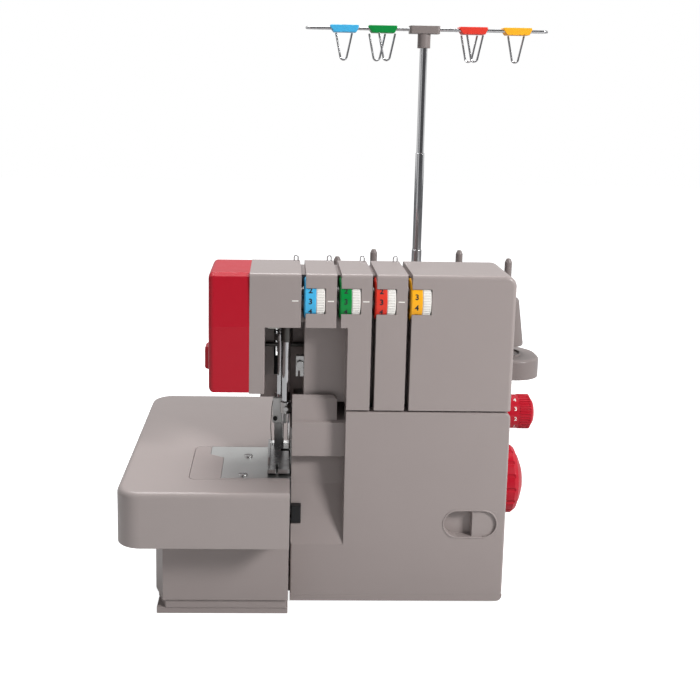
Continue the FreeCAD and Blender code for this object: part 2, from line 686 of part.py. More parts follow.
def make_drive():
    bushes = []
    for number, x in enumerate((seam + 61.2, right - 31.5)):
        profile = [(d.shaft_r + 0.05, 0), (d.shaft_r + 3, 0), (d.shaft_r + 3, 8), (d.shaft_r + 0.05, 8)]
        bushes.append(turned(f"shaft_bush{number}", "x", x, shaft_y, d.shaft_z, profile).body)
    inner = d.needle_bar_r + 0.05
    profile = [(inner, 222), (inner + 1.5, 222), (inner + 1.5, 279), (inner, 279)]
    bushes.append(turned("needle_bush", "z", needle_x, needle_y, 0, profile).body)
    inner = d.presser_bar_r + 0.05
    profile = [(inner, 253), (inner + 1.3, 253), (inner + 1.3, 279), (inner, 279)]
    bushes.append(turned("presser_bush", "z", presser_x, presser_y, 0, profile).body)
    group("guide_bushes", bushes)

    r = d.motor_r
    profile = [(0, 0), (r - 2, 0), (r, 2), (r, 64), (r - 3, 66), (r - 3, 74), (5, 74), (5, 64), (0, 64)]
    turned("drive_motor", "x", right - 105.5, motor_y, d.motor_z, profile).done()

    shaft = d.shaft_r
    begin = seam + 49.2
    length = right + 12.5 - begin
    profile = [(0, 0), (shaft - 1, 0), (shaft, 1), (shaft, length), (0, length)]
    turned("main_shaft", "x", begin, shaft_y, d.shaft_z, profile).done()
    turned("shaft_pulley", "x", right - 19.5, shaft_y, d.shaft_z, pulley_profile(d.belt_big_r, shaft)).done()
    small = d.belt_small_r
    flange = small + 2
    profile = [(0, 0), (3.5, 0), (3.5, 21), (flange, 21), (flange, 22), (small, 22), (small, 30),
               (flange, 30), (flange, 31), (0, 31)]
    turned("motor_pulley", "x", right - 40.5, motor_y, d.motor_z, profile).done()

    belt = doc.addObject("Part::Feature", "drive_belt")
    belt.Shape = belt_shape(0.3, 1.9, (right - 18).value, (right - 11).value)
    node(belt, "drive_belt")

    rim = d.wheel_r
    hub = right + 3
    reach = d.wheel_reach - 3
    profile = [(shaft, 0), (rim - 8, 0), (rim - 3, 2), (rim, 6), (rim, 17), (rim - 3, 21), (rim - 6, 22),
               (rim - 10, 24.5), (rim - 18, reach - 0.5), (0, reach), (0, 10), (shaft, 10)]
    wheel = turned("handwheel", "x", hub, shaft_y, d.shaft_z, profile)
    for number in range(16):
        turn = FreeCAD.Rotation(V(0, 0, 1), 22.5 * number)
        spot = turn.multVec(V(d.wheel_r.value + 0.9, 0, 0))
        ratio_x = spot.x / d.wheel_r.value
        ratio_y = spot.y / d.wheel_r.value
        wheel.cut("xy", as_size(5), as_size(18), circle(d.wheel_r * ratio_x, d.wheel_r * ratio_y, 2.2))
    wheel.done()

    r = d.stitch_r
    knob = right + 1
    profile = [(0, -14), (5.6, -14), (5.6, 0), (r - 2, 0), (r, 2), (r - 0.2, 24), (r - 2, 28),
               (r - 5, 30), (0, 30.2)]
    turned("stitch_length_dial", "x", knob, stitch_y, d.stitch_z, profile).done()


def pulley_profile(r, hole):
    return [(hole, 0), (r + 2, 0), (r + 2, 1), (r, 1), (r, 9), (r + 2, 9), (r + 2, 10), (hole, 10)]


def belt_shape(inner, outer, x0, x1):
    """Flat belt round both pulleys, from the radii and the centres in the sheet."""
    rings = []
    for gap in (inner, outer):
        big = d.belt_big_r.value + gap
        small = d.belt_small_r.value + gap
        c1 = V(x0, shaft_y.value, d.shaft_z.value)
        c2 = V(x0, motor_y.value, d.motor_z.value)
        along = c2 - c1
        span = along.Length
        along.normalize()
        side = V(1, 0, 0).cross(along)
        lean = (big - small) / span
        rise = (1 - lean * lean) ** 0.5
        up = along * lean + side * rise
        down = along * lean - side * rise
        p1, p2 = c1 + up * big, c2 + up * small
        p3, p4 = c2 + down * small, c1 + down * big
        far = Part.Arc(p2, c2 + along * small, p3).toShape()
        close = Part.Arc(p4, c1 - along * big, p1).toShape()
        wire = Part.Wire([Part.makeLine(p1, p2), far, Part.makeLine(p3, p4), close])
        rings.append(Part.Face(wire).extrude(V(x1 - x0, 0, 0)))
    return rings[1].cut(rings[0])


def make_needles():
    bar = d.needle_bar_r
    profile = [(0, 168), (bar - 0.6, 168), (bar, 169), (bar, 280.5), (0, 280.5)]
    turned("needle_bar", "z", needle_x, needle_y, 0, profile).done()
    clamp = Piece("needle_clamp")
    clamp.pad("xy", as_size(158), as_size(168), circle(needle_x, needle_y, 4.8))
    clamp.pad("xz", needle_y - 7.5, needle_y - 3, circle(needle_x, 163, 2))
    clamp.done()
    needles = []
    for number, shift in enumerate((-2.2, 2.2)):
        profile = [(0, 130), (0.55, 136), (0.55, 148), (0.95, 150), (0.95, 158), (0, 158)]
        needles.append(turned(f"needle{number}", "z", needle_x + shift, needle_y, 0, profile).body)
    group("needles", needles)

    bar = d.presser_bar_r
    collar = bar + 2.6
    profile = [(0, 152), (bar, 152), (bar, 220), (collar, 220), (collar, 226), (bar, 226), (bar, 275),
               (0, 275)]
    turned("presser_bar", "z", presser_x, presser_y, 0, profile).done()

    sole = d.table_top + 0.8
    x0 = needle_x - 15
    x1 = needle_x + 3.2
    foot = Piece("presser_foot")
    toe = face - 13.5
    heel = face + 61.5
    side = [(toe, sole + 1.5), (toe + 5, sole), (heel - 4, sole), (heel, sole + 2.5), (heel, sole + 4),
            (heel - 5, sole + 3), (toe + 23, sole + 3), (toe + 11, sole + 3.5), (toe, sole + 5)]
    foot.pad("yz", x0, x1, side)
    foot.pad("xz", presser_y - 5, presser_y - 1.5, rect(presser_x - 5, presser_x + 3.5, sole + 2, 150))
    foot.pad("xz", presser_y - 6.5, presser_y + 5.5, rect(presser_x - 5.5, presser_x + 5.5, 146, 170))
    fence = [(toe + 15, sole + 2), (heel - 4, sole + 2), (heel - 6, sole + 7), (toe + 23, sole + 7)]
    foot.pad("yz", x0, x0 + 2, fence)
    foot.cut("xy", as_size(152), as_size(171), circle(presser_x, presser_y, bar))
    slot = rect(needle_x - 4, x1 + 1, needle_y - 3, needle_y + 3)
    split = rect(x0 + 7, x0 + 9, toe - 1, toe + 19)
    foot.cut("xy", sole - 1, sole + 8, slot, split)
    foot.done()

    coil = Piece("presser_spring")
    helix = coil.body.newObject("PartDesign::AdditiveHelix", "spring_coil")
    profile = coil.sketch("xz", as_size(0), [circle(bar + 1.7, 227, 0.55)])
    helix.Profile = profile
    helix.ReferenceAxis = (profile, ["V_Axis"])
    helix.Mode = "pitch-height-angle"
    bind(helix, "Pitch", 2.4)
    bind(helix, "Height", 14.4)
    put(coil.body, presser_x, presser_y, 0)
    coil.done()

    lever = Piece("presser_lifter")
    path = [(-3, 212), (-0.6, 217.4), (4.4, 217.2), (25.4, 207), (39.4, 203.5), (43.4, 200),
            (41.4, 197), (27.4, 200), (3.4, 210.4), (-0.6, 210.6)]
    path = [(lifter_y + along, z) for along, z in path]
    lever.pad("yz", presser_x - 4, presser_x + 4, path)
    lever.cut("yz", presser_x - 4, presser_x + 4, circle(lifter_y, lifter_z, 2.1)).done()

    lens = rect(seam - 20, seam - 10, face + 8, face + 20)
    lamp = Piece("work_lamp").pad("xy", d.recess_top - 3, d.recess_top, lens)
    lamp.fillet(1.2, lambda e: near(e, z=d.recess_top - 3)).done()

    hook = Piece("needle_thread_guide")
    hook.pad("xy", as_size(194), as_size(212), rect(recess_mid - 7, recess_mid, face + 27.5, face + 33.5))
    hook.pad("xz", face + 24.5, face + 27.5, circle(recess_mid - 3.5, 205, 3))
    hook.cut("xz", face + 26.5, face + 34.5, rect(recess_mid - 5, recess_mid - 3.4, 193, 199)).done()


def make_loopers():
    pins = []
    pins.append(rod("hinge_rod", "x", seam + 8.2, hinge_y, d.hinge_z, d.hinge_r, right - seam - 14.2))
    lower = (seam + 7.2, 58)
    upper = (seam + 31.2, 70)
    pin_end = face + 47.5
    pins.append(rod("lower_pin", "y", lower[0], pin_end - 10, lower[1], 2.5, 10))
    pins.append(rod("upper_pin", "y", upper[0], pin_end - 16, upper[1], 2.5, 16))
    pins.append(rod("lifter_pin", "x", recess_left, lifter_y, lifter_z, 2, recess_mid - recess_left))
    group("pivot_pins", pins)

    looper = Piece("lower_looper")
    looper.pad("xz", pin_end - 6.6, pin_end - 0.4, circle(lower[0], lower[1], 6))
    blade = [(-4, 58), (4, 58), (2.5, 99.5), (-5, 99.6), (-12, 97.4), (-20, 93), (-25, 87.6),
             (-18, 90.4), (-11, 93.6), (-3.6, 95)]
    looper.pad("xz", pin_end - 6.6, pin_end - 3, [(lower[0] + along, z) for along, z in blade])
    looper.cut("xz", pin_end - 7, pin_end, circle(lower[0], lower[1], 2.6)).done()

    looper = Piece("upper_looper")
    looper.pad("xz", pin_end - 14, pin_end - 0.4, circle(upper[0], upper[1], 6))
    blade = [(-5, 68), (4, 72), (-14, 108), (-17, 120), (-22, 131), (-25, 134), (-23.5, 126),
             (-21, 118), (-19, 107)]
    looper.pad("xz", pin_end - 14, pin_end - 10.4, [(upper[0] + along, z) for along, z in blade])
    looper.cut("xz", pin_end - 15, pin_end, circle(upper[0], upper[1], 2.6)).done()

    knife = Piece("upper_knife")
    edge = seam + 0.4
    arm = seam + 47.3
    blade = [(edge, 116), (edge + 2.2, 114), (edge + 2.2, 138), (arm, 138), (arm, 148), (edge, 148)]
    knife.pad("xz", face + 26.5, face + 30.5, blade)
    knife.pad("xz", face + 26.5, face + 30.5, rect(arm - 6.2, arm, 104, 140))
    knife.done()
    low = d.arm_bottom + wall
    fixed = box("lower_knife", seam - 2, seam - 0.4, face + 22, face + 34.5, low, d.table_top)
    node(fixed, "lower_knife")

    dogs = Piece("feed_dogs")
    x0 = needle_x - 13
    dogs.pad("xy", as_size(103), as_size(109), rect(x0, x0 + 7.9, face + 21.5, face + 45.5))
    dogs.pad("xy", as_size(103), as_size(109), rect(x0 + 3, x0 + 7, face + 44.5, face + 50.1))
    for number in range(2):
        shift = x0 + 0.4 + 4.5 * number
        row = face + 23.5
        teeth = [(row, 108), (row, 119.6)]
        for tooth in range(10):
            teeth.append((row + 0.8 + 2.2 * tooth, 120.5))
            teeth.append((row + 2 + 2.2 * tooth, 119.6))
        teeth.append((row + 22, 119.6))
        teeth.append((row + 22, 108))
        dogs.pad("yz", shift, shift + 2.6, teeth)
    dogs.done()

    catch = Piece("table_catch")
    catch.pad("xz", face + 5, face + 20, rect(door_left, door_left + 8.5, 70.5, 86))
    catch.fillet(1, lambda e: near(e, y=face + 5)).done()


COLOURS = ("blue", "green", "red", "yellow")


def make_tension():
    discs = []
    for slot, colour in zip(slots, COLOURS):
        r = d.dial_radius
        band = d.dial_width
        profile = [(0, -5), (2.6, -5), (2.6, 0.6), (r - 1.5, 0.6), (r, 1.6), (r, 10), (r - 0.4, 10.2),
                   (r - 0.4, 10.8), (r - 0.2, 11), (r - 0.2, band), (r - 1.4, band + 0.8), (0, band + 0.8)]
        turned(f"tension_dial_{colour}", "x", slot, dial_y, d.dial_height, profile).done()
        for number, start in enumerate((-1.7, -0.6)):
            profile = [(2.7, 0.2), (4, 0.2), (9, 0), (10, 0.3), (10, 0.7), (2.7, 0.7)]
            disc = turned(f"disc_{colour}{number}", "x", slot + start, dial_y, d.dial_height, profile)
            discs.append(disc.body)
    group("tension_discs", discs)

    hooks = []
    for number, slot in enumerate(slots):
        hooks.append(wire_loop(f"top_hook{number}", slot - 5.5, tower_back + 2, top, 3.4, 4.6, 0.55, 1))
    group("upper_thread_guides", hooks)


def wire_loop(name, x, y, z, width, height, r, sense):
    """Bent wire: two legs that run into a round end, standing up or hanging down."""
    piece = Piece(name)
    x, y, z = as_size(x), as_size(y), as_size(z)
    half = as_size(width) / 2
    bend = min(half.value, 3.2)
    far = z + sense * (as_size(height) - bend)
    path = piece.body.newObject("Sketcher::SketchObject", f"{name}_path")
    path.AttachmentSupport = [(piece.planes["XZ_Plane"], "")]
    path.MapMode = "FlatFace"
    bind(path, "AttachmentOffset.Base.z", -y)
    centre = V(x.value, far.value, 0)
    feet = [V(x.value - half.value, z.value, 0), V(x.value + half.value, z.value, 0)]
    touch = [tangent_spot(foot, centre, bend) for foot in feet]
    path.addGeometry(Part.LineSegment(feet[0], touch[0]), False)
    path.addGeometry(Part.Arc(touch[0], V(x.value, far.value + sense * bend, 0), touch[1]), False)
    path.addGeometry(Part.LineSegment(touch[1], feet[1]), False)
    first, last = (2, 1) if sense > 0 else (1, 2)
    path.addConstraint(Sketcher.Constraint("Tangent", 0, 2, 1, first))
    path.addConstraint(Sketcher.Constraint("Tangent", 1, last, 2, 1))
    index = path.addConstraint(Sketcher.Constraint("Radius", 1, bend))
    bind(path, f"Constraints[{index}]", bend)
    for geometry, place, u, v in ((0, 1, x - half, z), (2, 2, x + half, z), (1, 3, x, far)):
        piece.pin_point(path, geometry, place, u, v)
    doc.recompute()
    profile = piece.body.newObject("Sketcher::SketchObject", f"{name}_round")
    profile.AttachmentSupport = [(path, "Edge1")]
    profile.MapMode = "NormalToEdge"
    piece.add_circle(profile, 0, 0, r)
    pipe = piece.body.newObject("PartDesign::AdditivePipe", f"{name}_wire")
    pipe.Profile = profile
    pipe.Spine = path
    return piece.body


def tangent_spot(foot, centre, bend):
    """Point where a line from foot meets the round end, on the outer side."""
    reach = centre - foot
    span = reach.Length
    lean = bend / span
    run = (1 - lean * lean) ** 0.5
    side = V(-reach.y, reach.x, 0) / span
    spots = []
    for way in (-1, 1):
        spots.append(centre - reach / span * (bend * lean) + side * (way * bend * run))
    return min(spots, key=lambda spot: abs(spot.x - foot.x))


def make_stand():
    low = d.stand_top - d.stand_thick
    x = mast_x
    reach = 117
    outline = [(x - reach, stand_front), (x + reach, stand_front), (x + reach, stand_side), (x + 66, back),
               (x - 66, back), (x - reach, stand_side)]
    stand = Piece("spool_stand").pad("xy", low, d.stand_top, outline)
    stand.fillet(26, lambda e: e.BoundBox.ZLength > 10 and e.BoundBox.XLength < 0.1)
    stand.fillet(3, lambda e: near(e, z=d.stand_top))
    shrink = [(x - 100, stand_front + 6), (x + 100, stand_front + 6), (x + 100, stand_side - 1),
              (x + 60, back - 9), (x - 60, back - 9), (x - 100, stand_side - 1)]
    stand.cut("xy", low, d.stand_top - 4, shrink)
    tongue_low = d.door_top - 13.5
    stand.pad("xy", tongue_low, low + 6, rect(x - 56, x + 56, body_back - 43, stand_front + 8))
    bosses = [circle(px, py, 9) for px, py in spool_spots()]
    stand.pad("xy", low + 2, d.stand_top - 3, *bosses, circle(x, mast_y, 10))
    stand.cut("xy", low + 1, d.stand_top + 1, *[circle(px, py, 3.05) for px, py in spool_spots()])
    stand.cut("xy", low + 4, d.stand_top + 1, circle(x, mast_y, d.mast_r))
    for px, py in spool_spots():
        stand.pad("xy", d.stand_top, d.stand_top + 1.4, circle(px, py, 17), circle(px, py, 15))
    stand.done()

    pins = []
    cones = []
    for number, (px, py) in enumerate(spool_spots()):
        tip = d.spool_tip
        profile = [(0, low + 4), (3, low + 4), (3, d.stand_top), (5.2, d.stand_top), (5.2, 190), (4.2, 190),
                   (4.2, 237), (3.6, 239), (3.6, tip - 4), (2, tip - 0.6), (0, tip)]
        pins.append(turned(f"pin{number}", "z", px, py, 0, profile).body)
        profile = [(4.25, 190), (6, 190), (6, 232.5), (10.4, 232.5), (15.8, 190), (18, 190), (18, 192),
                   (12.2, 234.5), (11, 236), (4.25, 236)]
        cone = turned(f"cone{number}", "z", px, py, 0, profile)
        slits = [rect(-20, -7.4, -1.3, 1.3), rect(7.4, 20, -1.3, 1.3)]
        cone.cut("xy", as_size(203), as_size(230), *slits)
        slits = [rect(-1.3, 1.3, -20, -7.4), rect(-1.3, 1.3, 7.4, 20)]
        cone.cut("xy", as_size(203), as_size(230), *slits)
        cones.append(cone.body)
    group("spool_pins", pins)
    group("cone_holders", cones)


def spool_spots():
    x = mast_x
    y = mast_y
    outer = y - d.spool_step
    return [(x - d.spool_out, outer), (x - d.spool_in, y), (x + d.spool_in, y), (x + d.spool_out, outer)]


def make_mast():
    low = d.stand_top - d.stand_thick + 4
    r1 = d.mast_r
    r2 = r1 - d.mast_wall - 0.05
    r3 = r2 - d.mast_wall - 0.05
    tubes = [("mast_lower_tube", r1, low, d.mast_low),
             ("mast_middle_tube", r2, d.mast_low - d.mast_lap, d.mast_mid),
             ("mast_upper_tube", r3, d.mast_mid - d.mast_lap, d.mast_high)]
    for name, r, start, end in tubes:
        hole = r - d.mast_wall
        profile = [(hole, start), (r, start), (r, end - 0.5), (r - 0.4, end), (hole, end)]
        turned(name, "z", mast_x, mast_y, 0, profile).done()

    z = d.guide_z
    x = mast_x
    y = mast_y
    wire = d.guide_wire_r
    half = d.guide_half
    strands = [circle(y - half, z, wire), circle(y + half, z, wire)]
    head = Piece("guide_head")
    head.pad("xy", z - 4, z + 3.5, rect(x - 15, x + 15, y - 7.5, y + 7.5))
    head.fillet(2.5, lambda e: e.BoundBox.ZLength > 5)
    head.pad("xy", d.mast_high - 6, z - 3.5, circle(x, y, r3 + 2.6))
    head.cut("xy", d.mast_high - 7, d.mast_high, circle(x, y, r3 + 0.05))
    head.cut("yz", x - 16, x + 16, *strands).done()

    spread = {"blue": -80, "green": -42, "red": 48, "yellow": 92}
    loops = []
    for colour, shift in spread.items():
        middle = x + shift
        clip = Piece(f"guide_clip_{colour}")
        side = [(middle - 14.5, z - 2.4), (middle - 8, z - 4.4), (middle + 8, z - 4.4),
                (middle + 14.5, z - 2.4), (middle + 13, z + 2.2), (middle + 4, z + 3.2),
                (middle - 4, z + 3.2), (middle - 13, z + 2.2)]
        clip.pad("xz", y - 8, y + 8, side)
        clip.cut("yz", middle - 16, middle + 16, *strands).done()
        places = {"blue": [(0, 0)], "yellow": [(0, 0)], "green": [(4.5, -5), (-4.5, 5)],
                  "red": [(2, -5), (-2, 5)]}
        for number, (dx, dy) in enumerate(places[colour]):
            name = f"loop_{colour}{number}"
            place = (middle + dx, y + dy, z - 4.6)
            loops.append(wire_loop(name, *place, d.loop_width, d.loop_drop, 0.7, -1))

    right_end = -left
    begin = x - d.guide_reach + half + wire
    straight = right_end - begin - half - wire
    bar = []
    for side in (-1, 1):
        bar.append(rod(f"strand{side + 1}", "x", begin, y + half * side, z, wire, straight))
    for number, (end, turn) in enumerate(((begin, 90), (begin + straight, -90))):
        bend = doc.addObject("Part::Torus", f"bend{number}")
        bind(bend, "Radius1", half)
        bind(bend, "Radius2", wire)
        bend.Angle3 = 180
        bend.Placement = FreeCAD.Placement(V(), FreeCAD.Rotation(V(0, 0, 1), turn))
        put(bend, end, y, z)
        bar.append(bend)
    group("guide_wires", [join("guide_ring", bar)] + loops)


def make_trim():
    shell = rect(inlet_y - 13.8, inlet_y + 13.8, 22.2, 41.8)
    inlet = Piece("power_inlet").pad("yz", right - 8, right + 1, shell)
    inlet.cut("yz", right - 6, right + 1, rect(inlet_y - 11, inlet_y + 11, 25, 39))
    for shift in (-6, 0, 6):
        inlet.pad("yz", right - 7, right - 1.5, rect(inlet_y + shift - 1, inlet_y + shift + 1, 30, 34.5))
    inlet.done()
    switch = Piece("power_switch")
    profile = [(right - 8, 55), (right, 54.8), (right + 2.6, 55.4), (right + 1.2, 60),
               (right + 0.4, 64.8), (right - 8, 65)]
    switch.pad("xz", switch_y - 8, switch_y + 8, profile)
    switch.pad("xz", switch_y - 8, switch_y + 8, circle(right - 4, 59.9, 5.6)).done()

    screws = []
    for number, (sx, sy) in enumerate(PLATE_SCREWS):
        rim = d.table_top
        profile = [(0, rim - 6), (2, rim - 6), (2, rim), (4, rim), (3.6, rim + 1.2), (0, rim + 1.4)]
        screw = turned(f"plate_screw{number}", "z", sx, sy, 0, profile)
        screw.cut("xy", rim + 0.7, rim + 2, rect(-5, 5, -0.5, 0.5))
        screws.append(screw.body)
    spots = [(seam + 17.2, 176), (right - 15.5, 176), (face_seam + 12.2, 270), (right - 15.5, 270)]
    for number, (x, z) in enumerate(spots):
        profile = [(0, 0), (4, 0), (4, 1.2), (3, 2), (0, 2)]
        screws.append(turned(f"rear_screw{number}", "y", x, rear_back, z, profile).body)
    group("screws", screws)


make_base()
make_lower_cover()
make_looper_cover()
make_upper_cover()
make_face_cover()
make_arm()
make_table()
make_frame()
make_drive()
make_needles()
make_loopers()
make_tension()
make_stand()
make_mast()
make_trim()
doc.recompute()

for item in doc.Objects:
    if "Invalid" in item.State or "Error" in item.State:
        raise RuntimeError(f"{item.Label} did not recompute: {item.State}")

os.makedirs("parts", exist_ok=True)
for item in NODES:
    if item.Shape.isNull() or not item.Shape.isValid():
        raise RuntimeError(f"{item.Label} has no valid shape")
    item.Shape.exportStep(f"parts/{item.Label}.step")
print(len(NODES), "pieces")
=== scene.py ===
import json
import math

import bmesh
import bpy
from mathutils import Matrix, Vector


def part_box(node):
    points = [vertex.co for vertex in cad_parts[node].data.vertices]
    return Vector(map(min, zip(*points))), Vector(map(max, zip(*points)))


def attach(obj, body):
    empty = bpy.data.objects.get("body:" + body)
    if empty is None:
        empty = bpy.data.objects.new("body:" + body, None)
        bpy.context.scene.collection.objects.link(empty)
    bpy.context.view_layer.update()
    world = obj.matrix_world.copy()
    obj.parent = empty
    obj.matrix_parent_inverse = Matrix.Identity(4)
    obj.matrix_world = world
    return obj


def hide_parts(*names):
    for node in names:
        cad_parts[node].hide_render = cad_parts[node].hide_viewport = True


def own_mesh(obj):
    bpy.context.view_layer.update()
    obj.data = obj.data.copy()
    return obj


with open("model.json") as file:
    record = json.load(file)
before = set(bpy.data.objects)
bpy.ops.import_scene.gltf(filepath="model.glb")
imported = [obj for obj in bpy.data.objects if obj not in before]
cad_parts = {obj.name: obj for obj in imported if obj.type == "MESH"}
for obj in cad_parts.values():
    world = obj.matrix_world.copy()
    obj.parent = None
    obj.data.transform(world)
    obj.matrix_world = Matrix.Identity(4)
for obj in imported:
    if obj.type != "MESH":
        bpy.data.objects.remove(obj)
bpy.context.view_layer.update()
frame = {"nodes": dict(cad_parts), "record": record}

scene = bpy.context.scene
nodes = frame["nodes"]
MM = 0.001

# Camera at the photograph's viewing angle, in millimetres, degrees and pixels
CAMERA_AT = Vector((-67.4, -915.9, 434.7)) * MM
CAMERA_YAW, CAMERA_PITCH, CAMERA_ROLL = 1.578, -9.706, 0.986
FOCAL_PIXELS, IMAGE_PIXELS = 1021.3, 700
SENSOR = 36.0
SHIFT = (0.06, -0.12)

# Name, place, target, size and power of each lamp, in metres and watts
LAMPS = (
    ("key", (1.10, -0.95, 1.00), (0.0, 0.0, 0.22), 0.40, 24),
    ("fill", (-1.2, -1.2, 0.5), (0.0, 0.0, 0.2), 1.2, 2.4),
    ("top", (-0.2, 0.5, 1.5), (0.0, 0.0, 0.2), 0.9, 20),
)
FLOOR_REACH = 4.0
FLOOR_COLOUR = (0.62, 0.62, 0.62, 1)
FLOOR_GLOW = 0.93
WORLD_COLOUR, WORLD_STRENGTH = (0.95, 0.97, 1.0, 1), 0.25

GREY = (0.330, 0.283, 0.272)
PALE_GREY = (0.350, 0.304, 0.292)
STAND_GREY = (0.225, 0.192, 0.184)
RED = (0.46, 0.004, 0.018)
BLACK = (0.012, 0.012, 0.013)
WHITE = (0.90, 0.87, 0.82)
INK = (0.02, 0.022, 0.03)
MOTOR_PAINT = (0.05, 0.052, 0.058)
LENS = (0.86, 0.86, 0.80)
STEEL = (0.46, 0.455, 0.45)
SATIN_STEEL = (0.66, 0.655, 0.645)
OILED_STEEL = (0.12, 0.115, 0.11)
GROUND_PLATE = (0.52, 0.52, 0.51)
CHROME = (0.55, 0.55, 0.56)
ALUMINIUM = (0.55, 0.56, 0.57)
BRASS = (0.62, 0.44, 0.16)
DIALS = {
    "blue": (0.062, 0.45, 0.78),
    "green": (0.0, 0.25, 0.045),
    "red": (0.74, 0.04, 0.022),
    "yellow": (0.95, 0.43, 0.012),
}
# Width of the white band at the right of a tension dial
WHITE_BAND = 7.2 * MM

# Rounded edges and the paler line along them, partly handling wear and partly a painted highlight.
# The two limits are cosines of the angle between the flat and the rounded normal: fully paler, and
# unmarked.
EDGE_RADIUS, EDGE_SAMPLES = 0.0006, 4
WORN_AND_LIT, UNMARKED = 0.88, 0.99
WEAR_AND_HIGHLIGHT_TINT = 1.45


def tint(colour, factor):
    return tuple(min(1.0, c * factor) for c in colour) + (1.0,)


class Shader:
    """A procedural material: a principled surface with noise in colour, gloss and relief."""

    def __init__(self, name, roughness, metallic=0.0):
        self.material = bpy.data.materials.new(name)
        self.material.use_nodes = True
        tree = self.material.node_tree
        self.nodes, self.links = tree.nodes, tree.links
        self.surface = self.nodes["Principled BSDF"]
        self.surface.inputs["Roughness"].default_value = roughness
        self.surface.inputs["Metallic"].default_value = metallic
        self.place = self.nodes.new("ShaderNodeTexCoord").outputs["Object"]
        edges = self.nodes.new("ShaderNodeBevel")
        edges.samples = EDGE_SAMPLES
        edges.inputs["Radius"].default_value = EDGE_RADIUS
        self.rounded = edges.outputs["Normal"]

    def stretched(self, scale):
        mapping = self.nodes.new("ShaderNodeMapping")
        mapping.inputs["Scale"].default_value = scale
        self.links.new(self.place, mapping.inputs["Vector"])
        return mapping.outputs["Vector"]

    def noise(self, scale, detail=3.0, place=None):
        noise = self.nodes.new("ShaderNodeTexNoise")
        noise.inputs["Scale"].default_value = scale
        noise.inputs["Detail"].default_value = detail
        self.links.new(place or self.place, noise.inputs["Vector"])
        return noise.outputs["Fac"]

    def blend(self, factor, first, second):
        mix = self.nodes.new("ShaderNodeMix")
        mix.data_type = "RGBA"
        self.links.new(factor, mix.inputs["Factor"])
        colours = [s for s in mix.inputs if s.type == "RGBA"]
        for socket, colour in zip(colours, (first, second)):
            if isinstance(colour, bpy.types.NodeSocket):
                self.links.new(colour, socket)
            else:
                socket.default_value = colour
        return next(s for s in mix.outputs if s.type == "RGBA")

    def colour(self, colour, scale, spread):
        result = self.blend(self.noise(scale), tint(colour, 1 - spread), tint(colour, 1 + spread))
        self.links.new(result, self.surface.inputs["Base Color"])
        return result

    def gloss(self, scale, low, high):
        limits = self.nodes.new("ShaderNodeMapRange")
        limits.inputs["To Min"].default_value = low
        limits.inputs["To Max"].default_value = high
        self.links.new(self.noise(scale, 2.0), limits.inputs["Value"])
        self.links.new(limits.outputs["Result"], self.surface.inputs["Roughness"])

    def wear(self, colour, paint):
        """Lighter, slightly broken line along the edges: partly handling wear, partly a painted
        highlight.
        """
        facing = self.nodes.new("ShaderNodeNewGeometry").outputs["Normal"]
        turned = self.nodes.new("ShaderNodeVectorMath")
        turned.operation = "DOT_PRODUCT"
        self.links.new(facing, turned.inputs[0])
        self.links.new(self.rounded, turned.inputs[1])
        edge = self.nodes.new("ShaderNodeMapRange")
        edge.inputs["From Min"].default_value = WORN_AND_LIT
        edge.inputs["From Max"].default_value = UNMARKED
        edge.inputs["To Min"].default_value = 1.0
        edge.inputs["To Max"].default_value = 0.0
        self.links.new(turned.outputs["Value"], edge.inputs["Value"])
        broken = self.nodes.new("ShaderNodeMath")
        broken.operation = "MULTIPLY"
        self.links.new(edge.outputs["Result"], broken.inputs[0])
        self.links.new(self.noise(240.0, 4.0), broken.inputs[1])
        # Paler edge line: some wear, and a painted highlight in place of light catching the edges
        worn_and_lit_edge = self.blend(broken.outputs["Value"], paint, tint(colour, WEAR_AND_HIGHLIGHT_TINT))
        self.links.new(worn_and_lit_edge, self.surface.inputs["Base Color"])

    def relief(self, height, strength, depth):
        bump = self.nodes.new("ShaderNodeBump")
        self.links.new(self.rounded, bump.inputs["Normal"])
        bump.inputs["Strength"].default_value = strength
        bump.inputs["Distance"].default_value = depth
        self.links.new(height, bump.inputs["Height"])
        self.links.new(bump.outputs["Normal"], self.surface.inputs["Normal"])


def plastic(name, colour, low=0.28, high=0.34, grain=0.05):
    """Moulded plastic between two roughnesses, with a fine grain of the given strength."""
    shader = Shader(name, low)
    shader.surface.inputs["Specular IOR Level"].default_value = 0.30
    # Every plastic gets the paler edge line: part wear, part painted highlight
    shader.wear(colour, shader.colour(colour, 14.0, 0.03))
    shader.gloss(120.0, low, high)
    shader.relief(shader.noise(2600.0, 2.0), grain, 0.00012)
    return shader


def metal(name, colour, low, high, stretch):
    """Metal between two roughnesses, with marks whose fineness along x, y and z is stretch."""
    shader = Shader(name, low, 1.0)
    shader.colour(colour, 60.0, 0.05)
    shader.gloss(90.0, low, high)
    shader.relief(shader.noise(1.0, 4.0, shader.stretched(stretch)), 0.12, 0.00008)
    return shader


def rubber(name):
    shader = Shader(name, 0.75)
    shader.colour(BLACK, 40.0, 0.25)
    shader.relief(shader.noise(1800.0), 0.4, 0.0002)
    return shader


def dial_plastic(name, colour, split):
    """Coloured band on the left of the wheel and a white band on the right of it."""
    shader = plastic(name, colour, 0.28, 0.38, 0.1)
    band = shader.nodes.new("ShaderNodeSeparateXYZ")
    shader.links.new(shader.place, band.inputs["Vector"])
    side = shader.nodes.new("ShaderNodeMath")
    side.operation = "GREATER_THAN"
    side.inputs[1].default_value = split
    shader.links.new(band.outputs["X"], side.inputs[0])
    base = shader.surface.inputs["Base Color"]
    paint = base.links[0].from_socket
    white = shader.blend(shader.noise(30.0), tint(WHITE, 0.80), tint(WHITE, 0.86))
    shader.links.new(shader.blend(side.outputs["Value"], paint, white), base)
    return shader


def lens(name):
    shader = plastic(name, LENS, 0.15, 0.22, 0.05)
    shader.surface.inputs["Transmission Weight"].default_value = 0.3
    return shader


